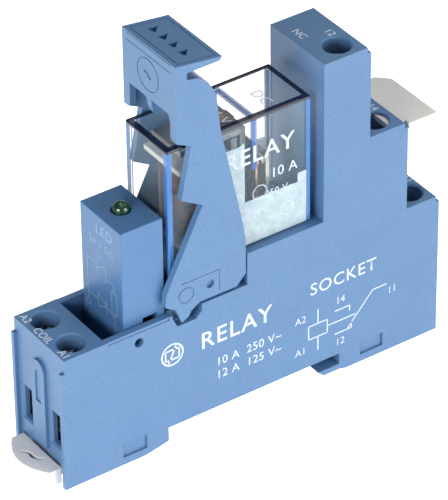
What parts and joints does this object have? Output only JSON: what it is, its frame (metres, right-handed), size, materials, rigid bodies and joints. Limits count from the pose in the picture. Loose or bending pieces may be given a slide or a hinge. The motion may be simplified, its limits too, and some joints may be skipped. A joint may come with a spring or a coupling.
{
  "type": "plug-in relay with rail socket",
  "caption": "Slim plug-in relay in a rail-mounted screw-terminal socket, with a release lever, a lamp module, a marker plate and a sliding rail clip.",
  "frame": {"origin": "middle of the flat face that seats on the top of the mounting rail", "axes": "+X along the socket from the coil-terminal end to the contact-terminal end, +Z away from the rail, -Y the printed near side"},
  "size_m": [0.083, 0.0154, 0.076],
  "materials": {
    "blue_plastic": "fine matte grain",
    "blue_cover_plastic": "fine matte grain",
    "module_blue_plastic": "fine matte grain, slightly darker",
    "white_plastic": "satin moulded",
    "marker_plastic": "satin moulded, off-white",
    "clear_cover": "clear polished, faint blue tint",
    "screw_steel": "zinc plated",
    "tinned_copper": "tinned",
    "plated_steel": "nickel plated",
    "magnetic_iron": "plated soft iron",
    "spring_copper": "rolled spring alloy",
    "enamelled_wire": "enamelled copper wire",
    "black_plastic": "satin black",
    "board_green": "solder mask",
    "resistor_body": "lacquered",
    "led_green": "tinted clear lens"
  },
  "bodies": {
    "socket": {"socket_housing": "blue_plastic", "base_cover": "blue_cover_plastic", "foot_cover": "blue_cover_plastic", "coil_busbar_a1": "tinned_copper", "coil_busbar_a2": "tinned_copper", "nc_busbar_12": "tinned_copper", "no_busbar_14": "tinned_copper", "common_busbar_11": "tinned_copper"},
    "release_lever": {"release_lever": "blue_plastic"},
    "relay": {"relay_cover": "clear_cover", "relay_base": "white_plastic", "relay_pin_a1": "tinned_copper", "relay_pin_a2": "tinned_copper", "coil_bobbin": "white_plastic", "coil_winding": "enamelled_wire", "coil_core": "magnetic_iron", "yoke": "magnetic_iron", "common_terminal": "tinned_copper", "no_terminal": "tinned_copper", "nc_terminal": "tinned_copper"},
    "armature": {"armature": "magnetic_iron", "actuator_card": "black_plastic", "hinge_spring": "spring_copper"},
    "contact_blade": {"moving_contact": "spring_copper"},
    "indicator_module": {"module_housing": "module_blue_plastic", "module_base": "black_plastic", "module_pin_a1": "tinned_copper", "module_pin_a2": "tinned_copper", "module_board": "board_green", "resistor": "resistor_body", "diode": "black_plastic", "led_lens": "led_green"},
    "rail_clip": {"rail_clip": "white_plastic"},
    "marker_tag": {"marker_tag": "marker_plastic"},
    "screw_a1": {"screw_a1": "screw_steel"},
    "clamp_a1": {"clamp_a1": "plated_steel"},
    "screw_a2": {"screw_a2": "screw_steel"},
    "clamp_a2": {"clamp_a2": "plated_steel"},
    "screw_12": {"screw_12": "screw_steel"},
    "clamp_12": {"clamp_12": "plated_steel"},
    "screw_14": {"screw_14": "screw_steel"},
    "clamp_14": {"clamp_14": "plated_steel"},
    "screw_11": {"screw_11": "screw_steel"},
    "clamp_11": {"clamp_11": "plated_steel"}
  },
  "joints": [
    {"name": "lever_tilt", "type": "hinge", "parent": "socket", "child": "release_lever", "pos_m": [-0.0139, 0, 0.0263], "axis": [0, -1, 0], "range_deg": [0, 24]},
    {"name": "relay_eject", "type": "slide", "parent": "socket", "child": "relay", "axis": [0, 0, 1], "range_m": [0, 0.0029]},
    {"name": "armature_swing", "type": "hinge", "parent": "relay", "child": "armature", "pos_m": [-0.0005, 0, 0.0515], "axis": [0, -1, 0], "range_deg": [0, 4], "stiffness_Nm_per_rad": 0.002, "springref_deg": -11.46},
    {"name": "blade_flex", "type": "hinge", "parent": "relay", "child": "contact_blade", "pos_m": [0.0033, 0, 0.0331], "axis": [0, 1, 0], "range_deg": [0, 2]},
    {"name": "module_unplug", "type": "slide", "parent": "socket", "child": "indicator_module", "axis": [0, 0, 1], "range_m": [0, 0.008]},
    {"name": "clip_pull", "type": "slide", "parent": "socket", "child": "rail_clip", "axis": [-1, 0, 0], "range_m": [0, 0.0026], "stiffness_N_per_m": 500},
    {"name": "tag_pull", "type": "slide", "parent": "socket", "child": "marker_tag", "axis": [1, 0, 0], "range_m": [0, 0.0022]},
    {"name": "screw_turn_a1", "type": "hinge", "parent": "socket", "child": "screw_a1", "pos_m": [-0.0347, -0.00395, 0.0187], "axis": [0, 0, -1], "range_deg": [0, 1800]},
    {"name": "clamp_lift_a1", "type": "slide", "parent": "socket", "child": "clamp_a1", "axis": [0, 0, 1], "range_m": [0, 0.0026]},
    {"name": "screw_turn_a2", "type": "hinge", "parent": "socket", "child": "screw_a2", "pos_m": [-0.0347, 0.00395, 0.0187], "axis": [0, 0, -1], "range_deg": [0, 1800]},
    {"name": "clamp_lift_a2", "type": "slide", "parent": "socket", "child": "clamp_a2", "axis": [0, 0, 1], "range_m": [0, 0.0026]},
    {"name": "screw_turn_12", "type": "hinge", "parent": "socket", "child": "screw_12", "pos_m": [0.0198, -0.00395, 0.057], "axis": [0, 0, -1], "range_deg": [0, 1800]},
    {"name": "clamp_lift_12", "type": "slide", "parent": "socket", "child": "clamp_12", "axis": [0, 0, 1], "range_m": [0, 0.0026]},
    {"name": "screw_turn_14", "type": "hinge", "parent": "socket", "child": "screw_14", "pos_m": [0.0278, -0.00395, 0.0387], "axis": [0, 0, -1], "range_deg": [0, 1800]},
    {"name": "clamp_lift_14", "type": "slide", "parent": "socket", "child": "clamp_14", "axis": [0, 0, 1], "range_m": [0, 0.0026]},
    {"name": "screw_turn_11", "type": "hinge", "parent": "socket", "child": "screw_11", "pos_m": [0.0355, -0.00395, 0.0206], "axis": [0, 0, -1], "range_deg": [0, 1800]},
    {"name": "clamp_lift_11", "type": "slide", "parent": "socket", "child": "clamp_11", "axis": [0, 0, 1], "range_m": [0, 0.0026]}
  ],
  "couplings": [
    {"joint": "relay_eject", "follows": "lever_tilt", "m_per_rad": 0.0064},
    {"joint": "blade_flex", "follows": "armature_swing", "ratio": 0.42},
    {"joint": "clamp_lift_a1", "follows": "screw_turn_a1", "m_per_rad": 0.000079577},
    {"joint": "clamp_lift_a2", "follows": "screw_turn_a2", "m_per_rad": 0.000079577},
    {"joint": "clamp_lift_12", "follows": "screw_turn_12", "m_per_rad": 0.000079577},
    {"joint": "clamp_lift_14", "follows": "screw_turn_14", "m_per_rad": 0.000079577},
    {"joint": "clamp_lift_11", "follows": "screw_turn_11", "m_per_rad": 0.000079577}
  ]
}
